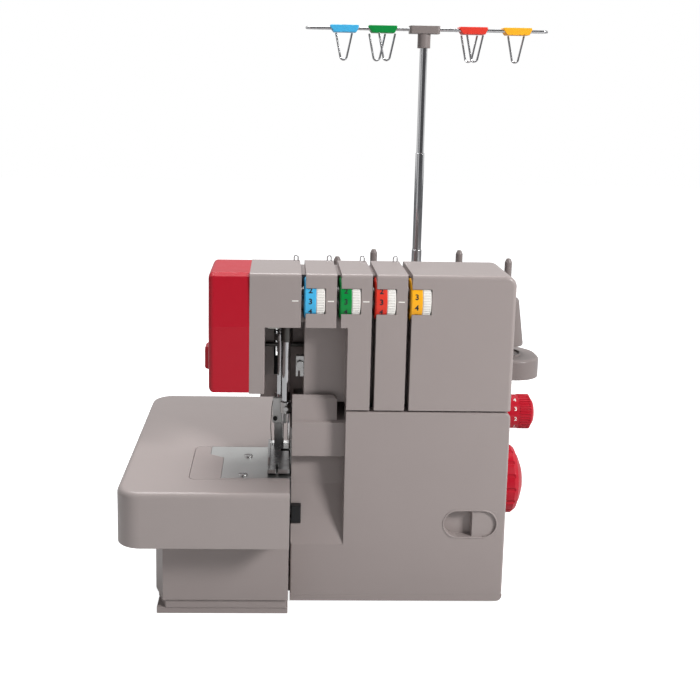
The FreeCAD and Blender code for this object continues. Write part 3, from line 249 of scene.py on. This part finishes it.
SHADERS = {
    "grey": plastic("grey_plastic", GREY),
    "pale": plastic("pale_grey_plastic", PALE_GREY),
    "stand": plastic("stand_plastic", STAND_GREY),
    "red": plastic("red_plastic", RED, 0.26, 0.36, 0.12),
    "black": plastic("black_plastic", BLACK, 0.35, 0.5, 0.3),
    "white": plastic("white_print", WHITE, 0.4, 0.5, 0.1),
    "ink": plastic("dark_print", INK, 0.4, 0.5, 0.1),
    "steel": metal("brushed_steel", STEEL, 0.22, 0.34, (60.0, 1400.0, 1400.0)),
    "bright": metal("satin_steel", SATIN_STEEL, 0.42, 0.52, (1400.0, 1400.0, 60.0)),
    "dark_steel": metal("oiled_steel", OILED_STEEL, 0.25, 0.4, (60.0, 1400.0, 1400.0)),
    "plate": metal("ground_plate", GROUND_PLATE, 0.3, 0.42, (900.0, 40.0, 900.0)),
    "chrome": metal("chrome", CHROME, 0.06, 0.14, (400.0, 400.0, 30.0)),
    "cast": metal("cast_aluminium", ALUMINIUM, 0.45, 0.6, (700.0, 700.0, 700.0)),
    "brass": metal("turned_brass", BRASS, 0.2, 0.32, (1500.0, 60.0, 60.0)),
    "motor": plastic("motor_paint", MOTOR_PAINT, 0.35, 0.5),
    "rubber": rubber("rubber"),
    "lens": lens("lamp_lens"),
}
# Shader of each of the record's material slots
FINISH = {
    "grey_plastic": "grey", "stand_plastic": "stand", "red_plastic": "red",
    "black_plastic": "black", "cast_frame": "cast", "steel": "steel", "chrome": "chrome",
    "brass": "brass", "motor_paint": "motor", "rubber": "rubber", "lamp_lens": "lens",
}
for colour, shade in DIALS.items():
    SHADERS[f"clip_{colour}"] = plastic(f"clip_{colour}", shade, 0.3, 0.4, 0.1)
    FINISH.setdefault(f"{colour}_plastic", f"clip_{colour}")


def dress(node, shader):
    mesh = nodes[node].data
    mesh.materials.clear()
    mesh.materials.append(shader.material)


def dress_nodes():
    for part in frame["record"]["subparts"]:
        dress(part["node"], SHADERS[FINISH[part["material_slot"]]])
    dress("extension_table", SHADERS["pale"])
    dress("needle_plate", SHADERS["plate"])
    dress("guide_bushes", SHADERS["dark_steel"])
    dress("pivot_pins", SHADERS["dark_steel"])
    for colour, shade in DIALS.items():
        node = f"tension_dial_{colour}"
        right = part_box(node)[1].x
        dress(node, dial_plastic(f"dial_{colour}", shade, right - WHITE_BAND))


def box_mm(node):
    """Low and high corner of a CAD node, in millimetres."""
    low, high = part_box(node)
    return low / MM, high / MM


def place_piece(name, mesh, shader, body):
    mesh.materials.clear()
    mesh.materials.append(SHADERS[shader].material)
    piece = bpy.data.objects.new(name, mesh)
    scene.collection.objects.link(piece)
    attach(piece, body)
    return piece


def mesh_piece(name, vertices, faces, shader, body):
    mesh = bpy.data.meshes.new(name)
    mesh.from_pydata(vertices, [], faces)
    solid = bmesh.new()
    solid.from_mesh(mesh)
    bmesh.ops.recalc_face_normals(solid, faces=solid.faces)
    solid.to_mesh(mesh)
    solid.free()
    return place_piece(name, mesh, shader, body)


BOX_FACES = [(0, 1, 3, 2), (4, 6, 7, 5), (0, 4, 5, 1), (2, 3, 7, 6), (0, 2, 6, 4), (1, 5, 7, 3)]


def add_index_marks():
    """White dash on the front cover beside every tension dial."""
    length, height, proud, sunk, overlap = (n * MM for n in (5.2, 1.0, 0.15, 0.3, 0.8))
    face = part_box("upper_front_cover")[0].y
    for colour in DIALS:
        low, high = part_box(f"tension_dial_{colour}")
        middle = (low.z + high.z) / 2
        end = low.x + overlap
        corners = [(x, y, z) for x in (end - length, end) for y in (face - proud, face + sunk)
                   for z in (middle - height / 2, middle + height / 2)]
        mesh_piece(f"index_mark_{colour}", corners, BOX_FACES, "white", "machine")


def wrapped_text(name, words, size, bold, centre, radius, turn, shader, body):
    """Printed characters laid on a wheel that turns about a sideways axis."""
    curve = bpy.data.curves.new(name, "FONT")
    curve.body = words
    curve.size = size
    curve.align_x = "CENTER"
    curve.align_y = "CENTER"
    curve.extrude = 0.06 * MM
    curve.offset = bold
    curve.resolution_u = 4
    text = bpy.data.objects.new(f"{name}_curve", curve)
    scene.collection.objects.link(text)
    bpy.context.view_layer.update()
    finished = text.evaluated_get(bpy.context.evaluated_depsgraph_get())
    mesh = bpy.data.meshes.new_from_object(finished)
    bpy.data.objects.remove(text)
    for vertex in mesh.vertices:
        angle = turn + vertex.co.y / radius
        reach = radius + vertex.co.z
        vertex.co = (centre.x + vertex.co.x,
                     centre.y - reach * math.cos(angle),
                     centre.z + reach * math.sin(angle))
    return place_piece(name, mesh, shader, body)


def add_dial_numbers():
    """Dark digits round the coloured band of every tension dial."""
    digits, pitch, size, bold = 10, math.radians(30), 6.4 * MM, 0.22 * MM
    inset = 12.0 * MM
    facing = (3.0, 3.0, 3.0, 3.5)
    for colour, start in zip(DIALS, facing):
        low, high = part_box(f"tension_dial_{colour}")
        radius = (high.z - low.z) / 2
        centre = Vector((high.x - inset, (low.y + high.y) / 2, (low.z + high.z) / 2))
        for digit in range(digits):
            turn = (digit - start) * pitch
            wrapped_text(f"dial_number_{colour}_{digit}", str(digit), size, bold, centre, radius,
                         -turn, "ink", f"dial_{colour}")


def add_stitch_marks():
    """White digits round the inner end of the stitch length dial."""
    size, bold, inset, sunk = (n * MM for n in (5.0, 0.12, 17.4, 0.05))
    first, pitch = -44, 34
    low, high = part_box("stitch_length_dial")
    radius = (high.z - low.z) / 2
    centre = Vector((high.x - inset, (low.y + high.y) / 2, (low.z + high.z) / 2))
    for number, words in enumerate("1234"):
        turn = math.radians(first + pitch * number)
        wrapped_text(f"stitch_number_{words}", words, size, bold, centre, radius - sunk, turn,
                     "white", "stitch_dial")


def ribs(name, node, proud, width, inset_start, inset_end, count, shader, body):
    """Narrow raised bars along a wheel that turns about a sideways axis."""
    low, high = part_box(node)
    axis, radius = (low + high) / 2, (high.z - low.z) / 2
    sunk, crown = 0.4 * MM, width * 0.3
    vertices, faces = [], []
    for number in range(count):
        turn = 2 * math.pi * number / count
        outward = Vector((0, -math.cos(turn), math.sin(turn)))
        sideways = Vector((0, math.sin(turn), math.cos(turn)))
        first = len(vertices)
        for x in (high.x - inset_start, high.x - inset_end):
            spot = Vector((x, axis.y, axis.z))
            for reach, half in ((radius - sunk, width / 2), (radius + proud, crown)):
                for side in (-half, half):
                    vertices.append(spot + outward * reach + sideways * side)
        faces += [tuple(first + corner for corner in face) for face in BOX_FACES]
    mesh_piece(name, vertices, faces, shader, body)


def add_ribs():
    for colour in DIALS:
        ribs(f"dial_ribs_{colour}", f"tension_dial_{colour}", 0.12 * MM, 1.7 * MM,
             6.6 * MM, 0.9 * MM, 48, "white", f"dial_{colour}")
    ribs("stitch_dial_ribs", "stitch_length_dial", 0.3 * MM, 1.5 * MM,
         13.4 * MM, 3.4 * MM, 40, "red", "stitch_dial")


def prism(name, outline, front, back, shader, body):
    """An outline in x and z, in millimetres, carried straight back from one depth to another."""
    count = len(outline)
    vertices = [(x * MM, y * MM, z * MM) for y in (front, back) for x, z in outline]
    faces = [tuple(range(count)), tuple(range(2 * count - 1, count - 1, -1))]
    for number in range(count):
        after = (number + 1) % count
        faces.append((number, number + count, after + count, after))
    return mesh_piece(name, vertices, faces, shader, body)


def rectangle(left, right, foot, top):
    return [(left, foot), (right, foot), (right, top), (left, top)]


def arc(x, z, radius, start, end, steps=10):
    angles = [math.radians(start + (end - start) * n / steps) for n in range(steps + 1)]
    return [(x + radius * math.cos(a), z + radius * math.sin(a)) for a in angles]


def add_grip_ends(left, right, bottom, top, face):
    """Fillets that round off the finger grip: shallow ones on its right, deep ones on its left."""
    radius = (top - bottom) / 2
    middle = bottom + radius
    corner, overlap, sunk, shallow, deep = 8.0, 0.05, 0.02, 1.7, 8.2
    for end, side, edge, angle, turn in (("top", 1, top, 0, 90), ("foot", -1, bottom, -90, 180)):
        bend = arc(right - radius, middle, radius, angle, angle + 90)
        tip = (right + overlap, edge + overlap * side)
        prism(f"grip_end_{end}", [tip] + bend[::side], face + sunk, face + shallow,
              "grey", "door")
        bend = arc(left + radius, middle, radius, turn, turn + 90)
        outer = arc(left + corner, edge - side * corner, corner + overlap, turn, turn + 90)
        prism(f"grip_start_{end}", bend + outer[::-1], face + sunk, face + deep, "grey", "door")


# Section of the rim round the finger grip: distance out from the grip, and depth from the face
RIM_SECTION = ((0.1, 0.3), (0.1, -0.35), (0.7, -0.5), (1.3, -0.35), (1.5, 0.3))


def add_grip_rim(left, right, bottom, top, face):
    radius = (top - bottom) / 2
    middle = bottom + radius
    steps = 16
    loops = []
    for grow, depth in RIM_SECTION:
        loop = arc(right - radius, middle, radius + grow, -90, 90, steps)
        loop += arc(left + radius, middle, radius + grow, 90, 270, steps)
        loops.append([(x * MM, (face + depth) * MM, z * MM) for x, z in loop])
    count = len(loops[0])
    faces = []
    for ring in range(len(loops)):
        here, there = ring * count, (ring + 1) % len(loops) * count
        for number in range(count):
            after = (number + 1) % count
            faces.append((here + number, here + after, there + after, there + number))
    mesh_piece("grip_rim", [v for loop in loops for v in loop], faces, "grey", "door")


def add_door_trim():
    """Round ends and a raised rim for the finger grip, and the hem along the foot of the door."""
    low, high = box_mm("looper_cover")
    face = low.y
    grip = high.x - 52.6, high.x - 8.0, 61.3, 84.4
    add_grip_ends(*grip, face)
    add_grip_rim(*grip, face)

    hem, fold, height = 2.4, 5.0, 6.6
    outline = [(low.x, hem + height), (low.x, hem)]
    outline += arc(high.x - fold, hem + fold, fold, -90, 0)
    outline.append((high.x, hem + height))
    prism("door_hem", outline, face + 0.05, face + 2.2, "grey", "door")


def add_base_pan():
    """Shallow pan under the base tray, from which the rubber feet stand out."""
    low, high = box_mm("base_tray")
    setback, seam, gap, foot, top = 0.6, -57.6, 0.4, 0.8, 6.2
    arm_back, body_front = -41.6, -77.0
    prism("arm_pan", rectangle(low.x + setback, seam, foot, top),
          low.y + setback, arm_back, "grey", "machine")
    prism("body_pan", rectangle(seam + gap, high.x - setback, foot, top),
          body_front, high.y - setback, "grey", "machine")


def rod(name, points, radius, shader, body, sides=10):
    """A round wire or stud along points in millimetres."""
    path = [Vector(p) * MM for p in points]
    vertices, faces = [], []
    for number, spot in enumerate(path):
        along = path[min(number + 1, len(path) - 1)] - path[max(number - 1, 0)]
        spin = along.to_track_quat("Z", "Y").to_matrix()
        for side in range(sides):
            turn = 2 * math.pi * side / sides
            around = Vector((math.cos(turn), math.sin(turn), 0))
            vertices.append(spot + spin @ around * radius * MM)
    for number in range(len(path) - 1):
        for side in range(sides):
            here, after = number * sides + side, number * sides + (side + 1) % sides
            faces.append((here, after, after + sides, here + sides))
    faces.append(tuple(range(sides - 1, -1, -1)))
    faces.append(tuple(range(len(vertices) - sides, len(vertices))))
    return mesh_piece(name, vertices, faces, shader, body)


def add_guide_clips():
    """Flat clips with sloping ends that close over the two guide wires, and thicker wires."""
    lift, drop, left_slope, right_slope, chamfer = 0.5, 1.6, 4.2, 2.6, 0.8
    for colour in DIALS:
        node = f"guide_clip_{colour}"
        low, high = box_mm(node)
        sill, eave = low.z + lift, high.z - drop
        outline = [(low.x + left_slope, sill), (high.x - right_slope, sill),
                   (high.x, eave), (high.x - chamfer, high.z),
                   (low.x + chamfer, high.z), (low.x, eave)]
        clip = prism(f"{node}_shell", outline, low.y, high.y, f"clip_{colour}", "guide")
        rounding = clip.modifiers.new("rounding", "BEVEL")
        rounding.width = 0.6 * MM
        rounding.segments = 3
        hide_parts(node)
    wires = nodes["guide_wires"].modifiers.new("wire_gauge", "DISPLACE")
    wires.mid_level = 0.0
    wires.strength = 0.3 * MM


def add_foot_fittings():
    """Bright plate, clamp screw and thread wire on the presser foot holder."""
    left, right, front, back, foot, top = -72.6, -60.2, -52.9, -51.3, 147.0, 169.4
    prism("foot_plate", rectangle(left, right, foot, top), front, back, "bright", "presser")
    screw_x, screw_z = -70.2, 151.0
    screw = [(screw_x, front - 1.7, screw_z), (screw_x, front + 0.4, screw_z)]
    rod("foot_screw", screw, 1.9, "black", "presser", 20)
    wire = [(left + 0.5, front + 0.5, 168.0), (left - 0.6, front - 0.6, 162.0),
            (left - 1.4, front - 2.0, 146.0), (left - 0.9, front - 3.4, 134.0),
            (left + 0.2, front - 4.4, 127.5)]
    rod("foot_wire", wire, 0.35, "dark_steel", "presser")


def add_slot_liner():
    """Dark lining round the presser lifter's slot in the rear cover, and a plate below it."""
    low, high = box_mm("presser_lifter")
    gap, wall, foot, sill, head, top = 0.35, 2.2, 185.0, 202.0, 233.0, 238.6
    left, right = low.x - gap, high.x + gap
    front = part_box("upper_rear_cover")[0].y / MM
    prism("rear_skirt", rectangle(-84.0, -57.8, 164.0, foot + 2.0), front + 0.4, front + 2.4,
          "grey", "machine")
    for name, outline in (("left", rectangle(low.x - wall, left, foot, top)),
                          ("right", rectangle(right, high.x + wall, foot, top)),
                          ("sill", rectangle(left, right, foot, sill)),
                          ("head", rectangle(left, right, head, top))):
        prism(f"slot_liner_{name}", outline, front + 0.1, front + 2.1, "rubber", "machine")


def room_shade(tree, colour):
    """White panels on both sides of the object and above it, dim studio before and behind it."""
    place = tree.nodes.new("ShaderNodeTexCoord")
    parts = tree.nodes.new("ShaderNodeSeparateXYZ")
    ramp = tree.nodes.new("ShaderNodeValToRGB")
    first, last = ramp.color_ramp.elements
    first.position, first.color = 0.30, (0.10, 0.10, 0.105, 1)
    last.position, last.color = 0.96, (0.48, 0.48, 0.485, 1)
    for position in (0.48, 0.74):
        ramp.color_ramp.elements.new(position).color = (1, 1, 1, 1)
    span = tree.nodes.new("ShaderNodeMapRange")
    span.inputs["From Min"].default_value = -1.0
    span.inputs["From Max"].default_value = 1.0
    tree.links.new(place.outputs["Generated"], parts.inputs["Vector"])
    tree.links.new(parts.outputs["Y"], span.inputs["Value"])
    tree.links.new(span.outputs["Result"], ramp.inputs["Fac"])
    tree.links.new(ramp.outputs["Color"], colour)


def add_floor():
    """Pale floor that takes the object's shadow and glows a little for the camera alone."""
    reach = FLOOR_REACH
    corners = [(-reach, -reach, 0), (reach, -reach, 0), (reach, reach, 0), (-reach, reach, 0)]
    mesh = bpy.data.meshes.new("floor")
    mesh.from_pydata(corners, [], [(0, 1, 2, 3)])
    floor = bpy.data.objects.new("floor", mesh)
    scene.collection.objects.link(floor)
    material = bpy.data.materials.new("floor_white")
    material.use_nodes = True
    tree = material.node_tree
    surface = tree.nodes["Principled BSDF"]
    surface.inputs["Base Color"].default_value = FLOOR_COLOUR
    surface.inputs["Roughness"].default_value = 0.9
    surface.inputs["Specular IOR Level"].default_value = 0.0
    rays = tree.nodes.new("ShaderNodeLightPath")
    glow = tree.nodes.new("ShaderNodeEmission")
    glow.inputs["Strength"].default_value = FLOOR_GLOW
    blend = tree.nodes.new("ShaderNodeAddShader")
    pick = tree.nodes.new("ShaderNodeMixShader")
    tree.links.new(surface.outputs["BSDF"], blend.inputs[0])
    tree.links.new(glow.outputs["Emission"], blend.inputs[1])
    tree.links.new(rays.outputs["Is Camera Ray"], pick.inputs["Fac"])
    tree.links.new(surface.outputs["BSDF"], pick.inputs[1])
    tree.links.new(blend.outputs["Shader"], pick.inputs[2])
    tree.links.new(pick.outputs["Shader"], tree.nodes["Material Output"].inputs["Surface"])
    mesh.materials.append(material)


def add_world():
    """White for the camera, the shaded room in reflections, and a soft even light elsewhere."""
    world = bpy.data.worlds.new("studio")
    scene.world = world
    world.use_nodes = True
    tree = world.node_tree
    tree.nodes.clear()
    rays = tree.nodes.new("ShaderNodeLightPath")
    white = tree.nodes.new("ShaderNodeBackground")
    white.inputs["Color"].default_value = (1, 1, 1, 1)
    room = tree.nodes.new("ShaderNodeBackground")
    soft = tree.nodes.new("ShaderNodeBackground")
    soft.inputs["Color"].default_value = WORLD_COLOUR
    soft.inputs["Strength"].default_value = WORLD_STRENGTH
    room_shade(tree, room.inputs["Color"])
    lit = tree.nodes.new("ShaderNodeMixShader")
    reflected = tree.nodes.new("ShaderNodeMath")
    reflected.operation = "MAXIMUM"
    tree.links.new(rays.outputs["Is Glossy Ray"], reflected.inputs[0])
    tree.links.new(rays.outputs["Is Transmission Ray"], reflected.inputs[1])
    tree.links.new(reflected.outputs["Value"], lit.inputs["Fac"])
    tree.links.new(soft.outputs["Background"], lit.inputs[1])
    tree.links.new(room.outputs["Background"], lit.inputs[2])
    pick = tree.nodes.new("ShaderNodeMixShader")
    tree.links.new(rays.outputs["Is Camera Ray"], pick.inputs["Fac"])
    tree.links.new(lit.outputs["Shader"], pick.inputs[1])
    tree.links.new(white.outputs["Background"], pick.inputs[2])
    out = tree.nodes.new("ShaderNodeOutputWorld")
    tree.links.new(pick.outputs["Shader"], out.inputs["Surface"])


def add_lamp(name, place, target, size, energy):
    data = bpy.data.lights.new(name, "AREA")
    data.size = size
    data.energy = energy
    lamp = bpy.data.objects.new(name, data)
    lamp.location = place
    aim = Vector(target) - Vector(place)
    lamp.rotation_euler = aim.to_track_quat("-Z", "Y").to_euler()
    scene.collection.objects.link(lamp)


def add_camera():
    yaw, pitch, roll = (math.radians(a) for a in (CAMERA_YAW, CAMERA_PITCH, CAMERA_ROLL))
    forward = Vector((math.sin(yaw) * math.cos(pitch),
                      math.cos(yaw) * math.cos(pitch),
                      math.sin(pitch)))
    level = Vector((math.cos(yaw), -math.sin(yaw), 0))
    upright = level.cross(forward)
    across = level * math.cos(roll) + upright * math.sin(roll)
    upward = upright * math.cos(roll) - level * math.sin(roll)
    data = bpy.data.cameras.new("camera")
    data.sensor_width = SENSOR
    data.lens = FOCAL_PIXELS / IMAGE_PIXELS * SENSOR
    data.shift_x, data.shift_y = SHIFT
    camera = bpy.data.objects.new("camera", data)
    turned = Matrix((across, upward, -forward)).transposed().to_4x4()
    camera.matrix_world = Matrix.Translation(CAMERA_AT) @ turned
    scene.collection.objects.link(camera)
    scene.camera = camera


dress_nodes()
add_index_marks()
add_dial_numbers()
add_stitch_marks()
add_ribs()
add_door_trim()
add_base_pan()
add_slot_liner()
add_foot_fittings()
add_guide_clips()
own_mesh(nodes["presser_spring"])
add_floor()
add_world()
for lamp in LAMPS:
    add_lamp(*lamp)
add_camera()
scene.view_settings.view_transform = "Standard"
